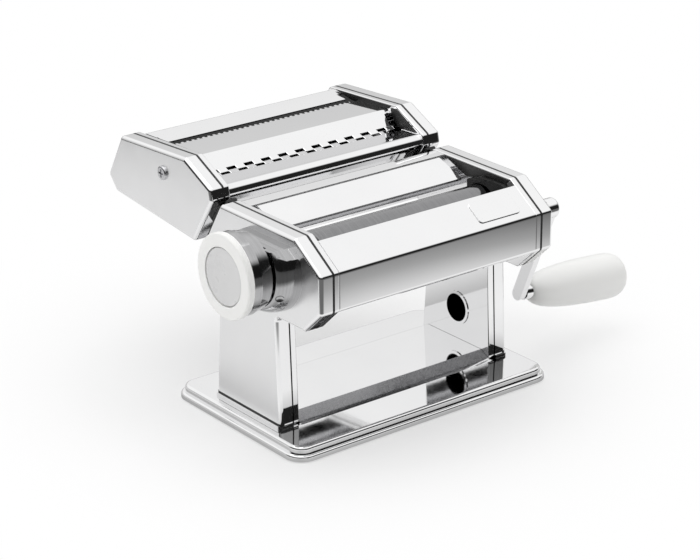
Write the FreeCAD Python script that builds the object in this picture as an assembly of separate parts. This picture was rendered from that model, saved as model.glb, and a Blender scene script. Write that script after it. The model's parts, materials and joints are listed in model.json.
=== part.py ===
import FreeCAD, Part
import math
import os

os.makedirs("parts", exist_ok=True)

# A hand-cranked pasta roller machine with a double cutter head, in millimetres.
# X runs along the rollers from the knob to the crank, Y from the front to the cutter head, Z up.
# Pieces are drawn about the middle of the base, then kept with the origin on the table,
# under the middle of the front foot at the knob end.

# base tray and the raised floor between its legs
base_length = 200.0
base_depth = 129.0
base_top = 9.0
base_corner = 12.0
base_sheet = 1.5
rim_lift = 0.8
rim_height = 3.7
rim_step = 2.6
foot_radius = 7.0
foot_inset = 17.0
plateau_top = 14.0
plateau_front = -25.0
plateau_back = 27.0
ramp_run = 10.0

# end frames: an inner plate and an outer cover, each with a turned edge and a dark seam between
roller_span = 150.0
plate_sheet = 1.2
plate_flange = 4.0
seam_gap = 1.0
cover_depth = 9.0
cover_sheet = 1.0
corner_round = 3.0
edge_round = 2.4
liner_wall = 0.8
liner_lap = 2.0
panel_sheet = 0.8

# outline of an end frame, seen along the rollers
cap_top = 135.0
cap_bottom = 80.0
cap_front = -73.5
cap_back = 40.0
front_slope_top = -49.0
front_slope_foot = 118.5
chin_top = 95.0
chin_back = -57.5
rear_slope_top = 24.5
rear_slope_foot = 110.0
back_chamfer_top = 98.0
leg_front_top = -30.0
leg_front_foot = -33.0
leg_back_top = 27.3
leg_back_foot = 33.0
leg_lip = 1.0
leg_lip_height = 2.0

# rollers and their drive
roller_radius = 12.2
axis_height = 113.8
drive_height = 110.6
knob_axis = -27.6
gap_widest = 3.0
gap_closest = 0.5
roller_end_play = 0.5
drive_journal = 6.0
carried_journal = 8.0
carried_bore = 5.6
running_fit = 0.05
bush_wall = 2.5
bush_flange = 1.6
main_teeth = 12
main_tooth_reach = 2.0
main_tooth_depth = 3.6
gear_clear = 2.1
gear_width = 3.5

# adjuster: a shaft through the hollow roller with an eccentric disc at each end
adjuster_radius = 4.0
eccentric_radius = 6.2
yoke_play = 0.45
block_gap = 0.2
cheek_inner = 1.5
cheek_outer = 2.0
cheek_clear = 0.3
block_half = 12.0
block_tall = 18.5
bridge_half = 6.0
bridge_thick = 2.5
tongue_half = 10.0
slide_fit = 0.1

# knob
boss_radius = 28.0
boss_nose = 23.5
boss_length = 15.0
knob_gap = 2.0
skirt_length = 14.0
skirt_radius = 25.3
skirt_back = 23.6
skirt_wall = 1.2
knob_cap_radius = 26.0
knob_cap_length = 4.0
inlay_radius = 18.0
inlay_sunk = 0.9
knob_hub = 10.5
spring_pocket = 8.5
knob_pull = 4.0
spring_radius = 6.2
spring_wire = 0.5
spring_turns = 4
index_ring = 17.0
index_pin_radius = 2.0
index_reach = 2.5
settings = 9

# crank
shank_radius = 4.0
cross_pin_radius = 1.2
crank_hole = 7.5
arm_standoff = 14.0
arm_thick = 4.5
arm_width = 8.0
crank_throw = 71.3
crank_lean = 22.4
handle_droop = 7.0
handle_length = 84.0
handle_pin_radius = 3.0
collar_radius = 4.7
collar_length = 6.5

# clamp socket in the leg on the crank side
clamp_radius = 9.0
clamp_wall = 1.0
clamp_y = -1.0
clamp_z = 35.0
clamp_length = 11.6

# cutter head outline, same build as the main end frames
cutter_outline = [(131.0, 150.3), (61.0, 154.2), (34.3, 141.3), (32.7, 134.0),
                  (53.0, 103.0), (100.0, 107.5), (139.0, 111.5), (147.5, 121.5)]
cutter_axis_height = 129.0
wide_nip = 64.5
fine_nip = 102.5
cutter_radius = 9.5
cutter_overlap = 1.4
disc_play = 0.2
wide_disc = 6.5
fine_disc = 2.0
cutter_journal = 6.0
cutter_far_journal = 4.0
cutter_teeth = 12
cutter_tooth_reach = 1.2
cutter_tooth_depth = 1.6
screw_y = 84.2
screw_z = 138.7
screw_head = 4.5

# slide that carries the cutter head on the slanted back of the main body
rail_start = 3.0
rail_length = 21.0
rail_stem = 3.0
rail_head = 7.0
rail_head_from = 2.2
rail_head_to = 3.8
rail_play = 0.3
channel_wall = 1.6

# small fastenings
tie_radius = 4.0
stud_radius = 2.5
nut_radius = 4.6
nut_height = 2.4
fit_gap = 0.05
head_clear = 0.3

# places that follow from the sizes above
plate_in = roller_span / 2
plate_out = plate_in + plate_sheet
flange_end = plate_in + plate_flange
cover_start = flange_end + seam_gap
cover_face = cover_start + cover_depth
cover_inside = cover_face - cover_sheet
throw = (gap_widest - gap_closest) / 2
middle_distance = 2 * roller_radius + (gap_widest + gap_closest) / 2
axis_drop = axis_height - drive_height
drive_axis = knob_axis - math.sqrt(middle_distance ** 2 - axis_drop ** 2)
line_angle = math.asin(axis_drop / middle_distance)
carried_axis = knob_axis + throw
roller_end = plate_in - roller_end_play
gear_start = plate_out + gear_clear
gear_end = gear_start + gear_width
cheek_start = gear_end + cheek_clear
arm_start = cover_face + arm_standoff
cheek_end = cheek_start + cheek_outer
boss_face = -cover_face - boss_length
skirt_tail = boss_face - knob_gap
skirt_front = skirt_tail - skirt_length
cutter_spacing = 2 * cutter_radius - cutter_overlap
groove_radius = cutter_spacing - cutter_radius - disc_play
main_outline = [(leg_back_foot, base_top), (leg_back_top, cap_bottom), (cap_back, back_chamfer_top),
                (cap_back, rear_slope_foot), (rear_slope_top, cap_top), (front_slope_top, cap_top),
                (cap_front, front_slope_foot), (cap_front, chin_top), (chin_back, cap_bottom),
                (leg_front_top, cap_bottom), (leg_front_foot, base_top)]
main_posts = [(30.0, 106.0), (10.0, 88.0), (-56.0, 88.5), (-14.0, 58.0), (14.0, 22.0)]
main_ties = [(14.0, 120.0), (18.0, 94.0)]
cutter_posts = [(60.0, 112.0), (130.0, 124.0)]
cutter_ties = [(83.0, 112.8), (126.0, 119.0)]


def vec(x, y, z):
    return FreeCAD.Vector(x, y, z)


def save(name, *solids):
    shape = solids[0] if len(solids) == 1 else Part.makeCompound(list(solids))
    foot_x, foot_y = foot_places()[0]
    shape.translated(vec(-foot_x, -foot_y, 0)).exportStep("parts/" + name + ".step")


def box(x0, x1, y0, y1, z0, z1):
    return Part.makeBox(x1 - x0, y1 - y0, z1 - z0, vec(x0, y0, z0))


def rod(radius, x0, x1, y, z):
    return Part.makeCylinder(radius, x1 - x0, vec(x0, y, z), vec(1, 0, 0))


def tube(outer, inner, x0, x1, y, z):
    return rod(outer, x0, x1, y, z).cut(rod(inner, x0 - 1, x1 + 1, y, z))


def flipped(shape):
    return shape.mirror(vec(0, 0, 0), vec(1, 0, 0))


def outline_wire(points, x, inset=0.0):
    corners = [vec(x, y, z) for y, z in points]
    wire = Part.makePolygon(corners + corners[:1])
    if inset:
        wire = wire.makeOffset2D(-inset, 2)
    return wire


def prism(points, x0, x1, inset=0.0, corner=0.0):
    solid = Part.Face(outline_wire(points, x0, inset)).extrude(vec(x1 - x0, 0, 0))
    if corner:
        along = [e for e in solid.Edges if abs(e.tangentAt(e.FirstParameter).x) > 0.99]
        solid = solid.makeFillet(corner, along)
    return solid


def rounded_face(solid, x, radius, above=-1.0):
    rim = []
    for edge in solid.Edges:
        if all(abs(v.X - x) < 1e-6 for v in edge.Vertexes) and edge.CenterOfMass.z > above:
            rim.append(edge)
    return solid.makeFillet(radius, rim)


def turned(profile, y, z, turn=None):
    # a solid of revolution about an axis along X; profile holds (x, radius) points and curves
    if turn is None:
        corners = [vec(x, y, z + r) for x, r in profile]
        turn = Part.makePolygon(corners + corners[:1])
    return Part.Face(turn).revolve(vec(0, y, z), vec(1, 0, 0), 360)


def bent_sheet(line, thickness, x0, x1):
    # a folded sheet: the line is its outer surface, the metal lies on the left of the line's way
    inner = []
    for i, (y, z) in enumerate(line):
        normals = []
        for a, b in ((i - 1, i), (i, i + 1)):
            if a >= 0 and b < len(line):
                dy = line[b][0] - line[a][0]
                dz = line[b][1] - line[a][1]
                size = math.hypot(dy, dz)
                normals.append((-dz / size, dy / size))
        first = normals[0]
        last = normals[-1]
        share = thickness / (1 + first[0] * last[0] + first[1] * last[1])
        if len(normals) == 1:
            share = thickness / 2
        inner.append((y + share * (first[0] + last[0]), z + share * (first[1] + last[1])))
    return prism(list(line) + inner[::-1], x0, x1)


def gear(teeth, pitch, reach, depth, bore, x0, x1, y, z, turn):
    # straight-sided teeth, thin enough to leave backlash
    step = 2 * math.pi / teeth
    points = []
    for i in range(teeth):
        middle = turn + i * step
        for radius, part in ((pitch - depth, -0.24), (pitch + reach, -0.1),
                             (pitch + reach, 0.1), (pitch - depth, 0.24)):
            angle = middle + part * step
            points.append((y + radius * math.cos(angle), z + radius * math.sin(angle)))
    return prism(points, x0, x1).cut(rod(bore, x0 - 1, x1 + 1, y, z))


def hexagon(radius, x0, x1, y, z):
    points = []
    for i in range(6):
        points.append((y + radius * math.cos(i * math.pi / 3), z + radius * math.sin(i * math.pi / 3)))
    return prism(points, x0, x1)


def rounded_slab(length, depth, corner, z0, z1):
    slab = box(-length / 2, length / 2, -depth / 2, depth / 2, z0, z1)
    upright = [e for e in slab.Edges if abs(e.tangentAt(e.FirstParameter).z) > 0.99]
    return slab.makeFillet(corner, upright)


def rounded_level(solid, z, radius):
    rim = [e for e in solid.Edges if all(abs(v.Z - z) < 1e-6 for v in e.Vertexes)]
    return solid.makeFillet(radius, rim)


def foot_places():
    return [(sx * (base_length / 2 - foot_inset), sy * (base_depth / 2 - foot_inset))
            for sx in (-1, 1) for sy in (-1, 1)]


def base_screw_places():
    # inside the leg, with the head clear of the tray's wall
    tray_wall = base_length / 2 - rim_step - base_sheet
    middle = min((cover_start + cover_inside) / 2 - 1.5, tray_wall - nut_radius - head_clear)
    return [(sx * middle, y) for sx in (-1, 1) for y in (leg_front_foot + 12, leg_back_foot - 12)]


def base_plate():
    rim_top = rim_lift + rim_height
    rim = rounded_slab(base_length, base_depth, base_corner, rim_lift, rim_top)
    rim = rounded_level(rim, rim_top, rim_height * 0.45)
    wall = rounded_slab(base_length - 2 * rim_step, base_depth - 2 * rim_step, base_corner - rim_step,
                        rim_lift, base_top)
    wall = rounded_level(wall, base_top, 2.0)
    inner = rim_step + base_sheet
    hollow = rounded_slab(base_length - 2 * inner, base_depth - 2 * inner, base_corner - inner,
                          rim_lift - 1, base_top - base_sheet)
    floor_half = plate_in - 0.2
    raised = [(plateau_front - ramp_run, base_top - 0.5), (plateau_front - ramp_run, base_top),
              (plateau_front, plateau_top), (plateau_back, plateau_top),
              (plateau_back + ramp_run, base_top), (plateau_back + ramp_run, base_top - 0.5)]
    under = [(plateau_front - ramp_run + base_sheet, base_top - base_sheet - 1),
             (plateau_front - ramp_run + base_sheet, base_top - base_sheet),
             (plateau_front, plateau_top - base_sheet), (plateau_back, plateau_top - base_sheet),
             (plateau_back + ramp_run - base_sheet, base_top - base_sheet),
             (plateau_back + ramp_run - base_sheet, base_top - base_sheet - 1)]
    tray = rim.fuse(wall).fuse(prism(raised, -floor_half, floor_half)).removeSplitter()
    tray = tray.cut(hollow).cut(prism(under, -floor_half + base_sheet, floor_half - base_sheet))
    for x, y in base_screw_places():
        tray = tray.cut(Part.makeCylinder(stud_radius + fit_gap, 20, vec(x, y, -5)))
    return tray


def rubber_feet():
    return [Part.makeCylinder(foot_radius, base_top - base_sheet, vec(x, y, 0)) for x, y in foot_places()]


def base_screws():
    screws = []
    for x, y in base_screw_places():
        head = Part.makeCylinder(nut_radius, 2.0, vec(x, y, base_top - base_sheet - 2.0))
        screws.append(head.fuse(Part.makeCylinder(stud_radius, 9.0, vec(x, y, base_top - base_sheet - 1.0))))
    return screws


def base_nuts():
    nuts = []
    for x, y in base_screw_places():
        nut = hexagon(nut_radius, 0, nut_height, 0, 0)
        nut = nut.cut(rod(stud_radius + fit_gap, -1, 9, 0, 0))
        nut.rotate(vec(0, 0, 0), vec(0, 1, 0), -90)
        nut.translate(vec(x, y, base_top + base_sheet))
        nuts.append(nut)
    return nuts


def flanged_plate(points):
    shell = rounded_face(prism(points, plate_in, flange_end, 0, corner_round), plate_in, plate_sheet * 0.7)
    return shell.cut(prism(points, plate_out, flange_end + 1, plate_sheet, corner_round - plate_sheet))


def inner_plate():
    plate = flanged_plate(main_outline)
    tab = box(plate_out - 0.1, cover_inside - 1, leg_front_foot + 4, leg_back_foot - 4, base_top,
              base_top + base_sheet)
    plate = plate.fuse(tab).removeSplitter()
    for x, y in base_screw_places():
        if x > 0:
            plate = plate.cut(Part.makeCylinder(stud_radius + fit_gap, 9, vec(x, y, base_top - 3)))
    for y, z in main_ties:
        plate = plate.cut(rod(stud_radius + fit_gap, plate_in - 1, flange_end, y, z))
    plate = plate.cut(rod(drive_journal + bush_wall, plate_in - 1, flange_end, drive_axis, drive_height))
    slot_front = carried_axis - 2 * throw - tongue_half - yoke_play
    slot_back = carried_axis + tongue_half + yoke_play
    slot = box(plate_in - 1, flange_end, slot_front, slot_back, axis_height - tongue_half - slide_fit,
               axis_height + tongue_half + slide_fit)
    return plate.cut(slot)


def crank_side_plate():
    hole = rod(clamp_radius + clamp_wall, plate_in - 1, flange_end, clamp_y, clamp_z)
    return inner_plate().cut(hole)


def side_cover():
    shell = prism(main_outline, cover_start, cover_face, 0, corner_round)
    shell = rounded_face(shell, cover_face, edge_round, base_top + 0.5)
    lip = box(cover_start, cover_face + leg_lip, leg_front_foot - leg_lip, leg_back_foot + leg_lip,
              base_top, base_top + leg_lip_height)
    upright = [e for e in lip.Edges if abs(e.tangentAt(e.FirstParameter).z) > 0.99]
    lip = lip.makeFillet(corner_round, [e for e in upright if e.CenterOfMass.x > cover_face])
    shell = shell.fuse(lip)
    inner_round = corner_round - cover_sheet
    shell = shell.cut(prism(main_outline, cover_start - 1, cover_inside, cover_sheet, inner_round))
    mouth_front = leg_front_foot + cover_sheet
    mouth_back = leg_back_foot - cover_sheet
    mouth_top = base_top + cover_sheet + 1.5
    shell = shell.cut(box(cover_start - 1, cover_inside, mouth_front, mouth_back, base_top - 1, mouth_top))
    for y, z in main_posts:
        shell = shell.fuse(rod(3.5, plate_out, cover_inside + 0.3, y, z))
    return shell.removeSplitter()


def crank_side_cover():
    return side_cover().cut(rod(crank_hole, cover_inside - 1, cover_face + 1, drive_axis, drive_height))


def knob_side_cover():
    hole = rod(adjuster_radius + bush_wall, cover_inside - 1, cover_face + 1, knob_axis, axis_height)
    return flipped(side_cover().cut(hole))


def seam_liner(points, bottom):
    wall = max(plate_sheet, cover_sheet)
    x0 = flange_end - liner_lap
    x1 = cover_start + liner_lap
    ring = prism(points, x0, x1, wall, corner_round - wall)
    ring = ring.cut(prism(points, x0 - 1, x1 + 1, wall + liner_wall))
    return ring.cut(box(x0 - 1, x1 + 1, -500, 500, -500, bottom))


def front_cover():
    slope_y = front_slope_top - cap_front
    slope_z = cap_top - front_slope_foot
    edge_y = front_slope_top - 0.17 * slope_y
    edge_z = cap_top - 0.17 * slope_z
    line = [(edge_y + 1.2, edge_z - 2.6), (edge_y, edge_z), (cap_front, front_slope_foot),
            (cap_front, chin_top), (cap_front + 3.0, chin_top - 2.2)]
    return bent_sheet(line, panel_sheet, -plate_in, plate_in)


def name_badge():
    # a bare plate with rounded corners on the sloped front
    slope_y = front_slope_top - cap_front
    slope_z = cap_top - front_slope_foot
    size = math.hypot(slope_y, slope_z)
    plate = Part.makeBox(32.4, 15.6, 0.7, vec(34.0, 0, 0))
    upright = [e for e in plate.Edges if abs(e.tangentAt(e.FirstParameter).z) > 0.99]
    plate = plate.makeFillet(2.6, upright)
    plate.rotate(vec(0, 0, 0), vec(1, 0, 0), math.degrees(math.atan2(slope_z, slope_y)))
    start = 24.6 / size
    plate.translate(vec(0, front_slope_top - start * slope_y, cap_top - start * slope_z))
    return plate


def rear_cover():
    line = [(cap_back - 0.6, back_chamfer_top), (cap_back - 0.6, rear_slope_foot),
            (rear_slope_top - 0.3, cap_top - 0.6), (rear_slope_top - 11.5, cap_top - 0.6)]
    return bent_sheet(line, panel_sheet, -plate_in, plate_in)


def rear_feed_guide():
    under = cap_top - 0.6 - panel_sheet
    line = [(rear_slope_top - 3.0, under), (rear_slope_top - 12.0, under), (-9.5, 125.6), (-9.0, 124.0)]
    return bent_sheet(line, panel_sheet, -plate_in + 4.6, plate_in - 4.6)


def hopper_end_guide():
    points = [(-55.0, 128.0), (-55.0, 116.0), (-14.0, 116.0), (-14.0, 126.5), (-26.0, 130.5), (-46.0, 131.0)]
    guide = prism(points, plate_in - 4.2, plate_in)
    reach = roller_radius + 0.5
    guide = guide.cut(rod(reach, 0, plate_in + 1, drive_axis, drive_height))
    for shift in (0, -2 * throw):
        guide = guide.cut(rod(reach, 0, plate_in + 1, carried_axis + shift, axis_height))
    guide = guide.cut(box(0, plate_in + 1, carried_axis - 2 * throw, carried_axis, 0, axis_height + reach))
    below = box(0, plate_in + 1, -500, drive_axis, 0, drive_height + 5)
    behind = box(0, plate_in + 1, carried_axis, 500, 0, axis_height + 5)
    return guide.cut(below).cut(behind)


def scraper(axis, height, side):
    # a thin blade just under a roller
    reach = roller_radius + 0.9
    lean = math.radians(70)
    tip = (axis + side * reach * math.cos(lean), height - reach * math.sin(lean))
    tail = (tip[0] + side * 7.5, tip[1] - 6.0)
    line = [tip, tail] if side < 0 else [tail, tip]
    return bent_sheet(line, panel_sheet, -plate_in, plate_in)


def tie_rods():
    rods = []
    for y, z in main_ties:
        tie = rod(tie_radius, -plate_in, plate_in, y, z)
        rods.append(tie.fuse(rod(stud_radius, -plate_out - 3.0, plate_out + 3.0, y, z)).removeSplitter())
    return rods


def tie_nuts():
    nuts = []
    for y, z in main_ties:
        nut = hexagon(nut_radius, plate_out, plate_out + nut_height, y, z)
        nut = nut.cut(rod(stud_radius + fit_gap, plate_out - 1, plate_out + 9, y, z))
        nuts += [nut, flipped(nut)]
    return nuts


def flanged_bush(bore, wall, y, z):
    ring = rod(bore + wall, plate_in, plate_out + bush_flange, y, z)
    ring = ring.fuse(rod(bore + wall + 1.2, plate_out, plate_out + bush_flange, y, z)).removeSplitter()
    return ring.cut(rod(bore + running_fit, plate_in - 1, plate_out + 9, y, z))


def drive_bushes():
    bush = flanged_bush(drive_journal, bush_wall, drive_axis, drive_height)
    return [bush, flipped(bush)]


def clamp_socket():
    length_end = plate_in - 0.6 + clamp_length
    sleeve = rod(clamp_radius + clamp_wall, plate_in - 0.6, length_end, clamp_y, clamp_z)
    sleeve = sleeve.fuse(rod(clamp_radius + 2.2, plate_in - 0.6, plate_in, clamp_y, clamp_z)).removeSplitter()
    return sleeve.cut(rod(clamp_radius, 0, length_end + 1, clamp_y, clamp_z))


def drive_roller():
    body = rod(roller_radius, -roller_end, roller_end, drive_axis, drive_height)
    tail = -plate_out - bush_flange - 1.0
    body = body.fuse(rod(drive_journal, tail, cover_inside - 0.5, drive_axis, drive_height)).removeSplitter()
    body = body.cut(rod(shank_radius + running_fit, plate_in - 15, cover_face, drive_axis, drive_height))
    half = cross_pin_radius + 0.1
    slot = box(cover_inside - 4.5, cover_face, -drive_journal - 1, drive_journal + 1, -half, half)
    slot.rotate(vec(0, 0, 0), vec(1, 0, 0), crank_lean)
    slot.translate(vec(0, drive_axis, drive_height))
    return body.cut(slot)


def main_pitch():
    return middle_distance / 2


def drive_gear():
    return gear(main_teeth, main_pitch(), main_tooth_reach, main_tooth_depth, drive_journal,
                gear_start, gear_end, drive_axis, drive_height, line_angle)


def carried_gear():
    return gear(main_teeth, main_pitch(), main_tooth_reach, main_tooth_depth, carried_journal,
                gear_start, gear_end, carried_axis, axis_height, line_angle + math.pi / main_teeth)


def carried_roller():
    body = rod(roller_radius, -roller_end, roller_end, carried_axis, axis_height)
    journals = rod(carried_journal, -gear_start + 0.3, gear_end, carried_axis, axis_height)
    body = body.fuse(journals).removeSplitter()
    return body.cut(rod(carried_bore, -cover_face, cover_face, carried_axis, axis_height))


def bearing_block():
    # a tongue in the plate's slot, two cheeks and two bridges that pass round the gear
    y = carried_axis
    z = axis_height
    inner_start = plate_out + block_gap
    inner_end = inner_start + cheek_inner
    tongue = box(plate_in, inner_start + 0.5, y - tongue_half, y + tongue_half,
                 z - tongue_half, z + tongue_half)
    inner = box(inner_start, inner_end, y - block_half, y + block_half, z - block_tall, z + block_tall)
    outer = box(cheek_start, cheek_end, y - block_half, y + block_half, z - block_tall, z + block_tall)
    block = tongue.fuse(inner).fuse(outer)
    for low in (z - block_tall, z + block_tall - bridge_thick):
        bridge = box(inner_start, cheek_end, y - bridge_half, y + bridge_half, low, low + bridge_thick)
        block = block.fuse(bridge)
    block = block.removeSplitter()
    block = block.cut(rod(carried_journal + running_fit, plate_in - 1, cheek_start - 1, y, z))
    across = eccentric_radius + yoke_play
    tall = eccentric_radius + throw + yoke_play
    return block.cut(box(cheek_start - 0.5, cheek_end + 1, y - across, y + across, z - tall, z + tall))


def adjuster_shaft():
    tail = skirt_front + 1.5
    shaft = rod(adjuster_radius, tail, cover_inside - 0.3, knob_axis, axis_height)
    for x0 in (cheek_start + 0.1, -cheek_end + 0.1):
        shaft = shaft.fuse(rod(eccentric_radius, x0, x0 + cheek_outer - 0.2, carried_axis, axis_height))
    shaft = shaft.removeSplitter()
    flat = axis_height + adjuster_radius - 1.0
    return shaft.cut(box(tail - 1, boss_face, knob_axis - 9, knob_axis + 9, flat, flat + 9))


def adjuster_bushes():
    outer = adjuster_radius + bush_wall
    inner = adjuster_radius + running_fit
    right = tube(outer, inner, cheek_end + 0.5, cover_inside, knob_axis, axis_height)
    left = tube(outer, inner, -cover_face - 8.0, -cheek_end - 0.5, knob_axis, axis_height)
    return [left, right]


def dial_boss():
    y = knob_axis
    z = axis_height
    start = -cover_face
    side = Part.LineSegment(vec(start, y, z + boss_radius), vec(start - 2.0, y, z + boss_radius))
    shoulder = Part.Arc(vec(start - 2.0, y, z + boss_radius),
                        vec(start - boss_length * 0.62, y, z + (boss_radius + boss_nose) / 2 + 1.0),
                        vec(boss_face, y, z + boss_nose))
    hole = z + adjuster_radius + 0.3
    nose = Part.LineSegment(vec(boss_face, y, z + boss_nose), vec(boss_face, y, hole))
    bore = Part.LineSegment(vec(boss_face, y, hole), vec(start, y, hole))
    back = Part.LineSegment(vec(start, y, hole), vec(start, y, z + boss_radius))
    wire = Part.Wire([c.toShape() for c in (side, shoulder, nose, bore, back)])
    boss = turned(None, y, z, wire)
    bush_room = adjuster_radius + bush_wall
    boss = boss.cut(rod(bush_room, start - 8.0, start + 1, y, z))
    groove = tube(index_ring + index_pin_radius + 0.3, index_ring - index_pin_radius - 0.3, boss_face - 1,
                  boss_face + index_reach + 0.2, y, z)
    boss = boss.cut(groove)
    for i in range(settings):
        angle = math.radians(225 + i * 180 / (settings - 1))
        spot_y = y + index_ring * math.cos(angle)
        spot_z = z + index_ring * math.sin(angle)
        boss = boss.cut(Part.makeSphere(1.5, vec(boss_face + index_reach + 1.0, spot_y, spot_z)))
    return boss


def knob_skirt():
    y = knob_axis
    z = axis_height
    seat = skirt_front + 8.0
    profile = [(skirt_front, spring_pocket), (skirt_front, skirt_radius), (skirt_front + 6.0, skirt_radius),
               (skirt_tail, skirt_back), (skirt_tail, skirt_back - skirt_wall),
               (seat + 2.0, skirt_back - skirt_wall), (seat + 2.0, knob_hub), (skirt_tail, knob_hub),
               (skirt_tail, adjuster_radius + running_fit), (seat, adjuster_radius + running_fit),
               (seat, spring_pocket)]
    skirt = turned(profile, y, z)
    key = box(seat, skirt_tail, y - 3.0, y + 3.0, z + adjuster_radius - 0.94, z + adjuster_radius + 1.0)
    skirt = skirt.fuse(key).removeSplitter()
    pin_y, pin_z = index_place()
    return skirt.cut(rod(index_pin_radius, skirt_front, skirt_tail + 1, pin_y, pin_z))


def index_place():
    angle = math.radians(225)
    return knob_axis + index_ring * math.cos(angle), axis_height + index_ring * math.sin(angle)


def index_pin():
    pin_y, pin_z = index_place()
    return rod(index_pin_radius, skirt_front, boss_face + index_reach, pin_y, pin_z)


def knob_cap():
    y = knob_axis
    z = axis_height
    front = skirt_front - knob_cap_length
    cap = rod(knob_cap_radius, front, skirt_front, y, z)
    rim = [e for e in cap.Edges if all(abs(v.X - front) < 1e-6 for v in e.Vertexes)]
    cap = cap.makeFillet(1.4, rim)
    cap = cap.cut(rod(inlay_radius, front - 1, front + 2.0, y, z))
    return cap.cut(rod(3.0, front + 1, skirt_front + 1, y, z))


def knob_inlay():
    front = skirt_front - knob_cap_length
    disc = rod(inlay_radius - 0.1, front + inlay_sunk, front + 2.0, knob_axis, axis_height)
    peg = rod(3.0 - fit_gap, front + 1.5, skirt_front - 0.5, knob_axis, axis_height)
    return disc.fuse(peg).removeSplitter()


def stop_washer():
    # held on the shaft's end by its screw; the spring pushes against it
    tail = skirt_front + 1.5
    return rod(7.6, tail - 1.2, tail, knob_axis, axis_height)


def knob_spring():
    start = skirt_front + 1.5 + 0.6
    seat = skirt_front + 8.0 - 0.6
    pitch = (seat - start) / spring_turns
    helix = Part.makeHelix(pitch, seat - start, spring_radius)
    along = vec(0, 2 * math.pi * spring_radius, pitch)
    ring = Part.makeCircle(spring_wire, vec(spring_radius, 0, 0), along)
    coil = Part.Wire(helix.Edges).makePipeShell([Part.Wire([ring])], True, True)
    coil.rotate(vec(0, 0, 0), vec(0, 1, 0), 90)
    coil.translate(vec(start, knob_axis, axis_height))
    return coil


def crank_frame(shape):
    # the crank is drawn hanging straight down from the drive axis, then swung to its lean
    shape.rotate(vec(0, 0, 0), vec(1, 0, 0), crank_lean)
    shape.translate(vec(0, drive_axis, drive_height))
    return shape


def handle_frame(shape):
    # drawn along X from the arm's far face, then tipped and hung from the arm's end
    shape.rotate(vec(0, 0, 0), vec(0, 1, 0), handle_droop)
    shape.translate(vec(arm_start + arm_thick, 0, -crank_throw))
    return crank_frame(shape)


def crank_arm():
    half = arm_width / 2
    bar = box(arm_start, arm_start + arm_thick, -half, half, -crank_throw, 0)
    arm = bar.fuse(rod(half, arm_start, arm_start + arm_thick, 0, -crank_throw))
    hub = rod(6.5, arm_start - 4.0, arm_start + arm_thick + 0.5, 0, 0)
    outer = [e for e in hub.Edges if all(abs(v.X - arm_start - arm_thick - 0.5) < 1e-6 for v in e.Vertexes)]
    arm = arm.fuse(hub.makeFillet(2.5, outer))
    arm = arm.fuse(rod(shank_radius, plate_in - 11, arm_start, 0, 0)).removeSplitter()
    pin_x = cover_inside - 2.5
    arm = arm.cut(Part.makeCylinder(cross_pin_radius, 30, vec(pin_x, -15, 0), vec(0, 1, 0)))
    arm = crank_frame(arm)
    return arm.cut(handle_frame(rod(handle_pin_radius, -20, 20, 0, 0)))


def cross_pin():
    half = drive_journal - 0.2
    start = vec(cover_inside - 2.5, -half, 0)
    return crank_frame(Part.makeCylinder(cross_pin_radius, 2 * half, start, vec(0, 1, 0)))


def handle_pin():
    head = rod(handle_pin_radius, -arm_thick, handle_length * 0.75, 0, 0)
    collar = rod(collar_radius, 0.7, collar_length, 0, 0)
    return handle_frame(head.fuse(collar).removeSplitter())


def crank_handle():
    start = collar_length + 0.4
    shape = [(0.0, 5.6), (5.0, 8.3), (15.0, 11.4), (37.0, 13.6), (70.0, 14.5)]
    curve = Part.BSplineCurve()
    curve.interpolate([vec(start + s, 0, r) for s, r in shape])
    end = start + handle_length
    shoulder = Part.Arc(vec(start + 70.0, 0, 14.5), vec(start + 80.5, 0, 13.6), vec(end, 0, 9.5))
    face = Part.LineSegment(vec(end, 0, 9.5), vec(end, 0, 0))
    depth = handle_length * 0.75 + 1.0
    bore_end = Part.LineSegment(vec(end, 0, 0), vec(depth, 0, 0))
    hole = handle_pin_radius + running_fit
    bore_wall = Part.LineSegment(vec(depth, 0, 0), vec(depth, 0, hole))
    bore = Part.LineSegment(vec(depth, 0, hole), vec(start, 0, hole))
    mouth = Part.LineSegment(vec(start, 0, hole), vec(start, 0, 5.6))
    wire = Part.Wire([c.toShape() for c in (curve, shoulder, face, bore_end, bore_wall, bore, mouth)])
    return handle_frame(turned(None, 0, 0, wire))


def slant():
    # way down the slanted back, and its outward normal, in the (y, z) plane
    dy = cap_back - rear_slope_top
    dz = rear_slope_foot - cap_top
    size = math.hypot(dy, dz)
    return (dy / size, dz / size), (-dz / size, dy / size)


def slant_bar(x0, x1, s0, s1, n0, n1):
    (dy, dz), (ny, nz) = slant()
    points = []
    for s, n in ((s0, n0), (s1, n0), (s1, n1), (s0, n1)):
        points.append((rear_slope_top + s * dy + n * ny, cap_top + s * dz + n * nz))
    return prism(points, x0, x1)


def cutter_rail():
    middle = plate_in + plate_flange / 2
    stem = slant_bar(middle - rail_stem / 2, middle + rail_stem / 2, rail_start, rail_start + rail_length,
                     0, rail_head_from + 0.2)
    head = slant_bar(middle - rail_head / 2, middle + rail_head / 2, rail_start, rail_start + rail_length,
                     rail_head_from, rail_head_to)
    return stem.fuse(head).removeSplitter()


def cutter_channel():
    middle = plate_in + plate_flange / 2
    inside = rail_head / 2 + rail_play
    outside = inside + channel_wall
    top = rail_start - rail_play
    foot = rail_start + rail_length
    low = rail_head_from - rail_play
    channel = slant_bar(middle - outside, middle + outside, top - 2.0, foot, low - 0.9, rail_head_to + 6.0)
    high = rail_head_to + rail_play
    channel = channel.cut(slant_bar(middle - inside, middle + inside, top, foot + 1, low, high))
    half = rail_stem / 2 + rail_play
    channel = channel.cut(slant_bar(middle - half, middle + half, top, foot + 1, low - 2, low + 1))
    return channel.cut(prism(cutter_outline, 0, cover_face))


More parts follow.
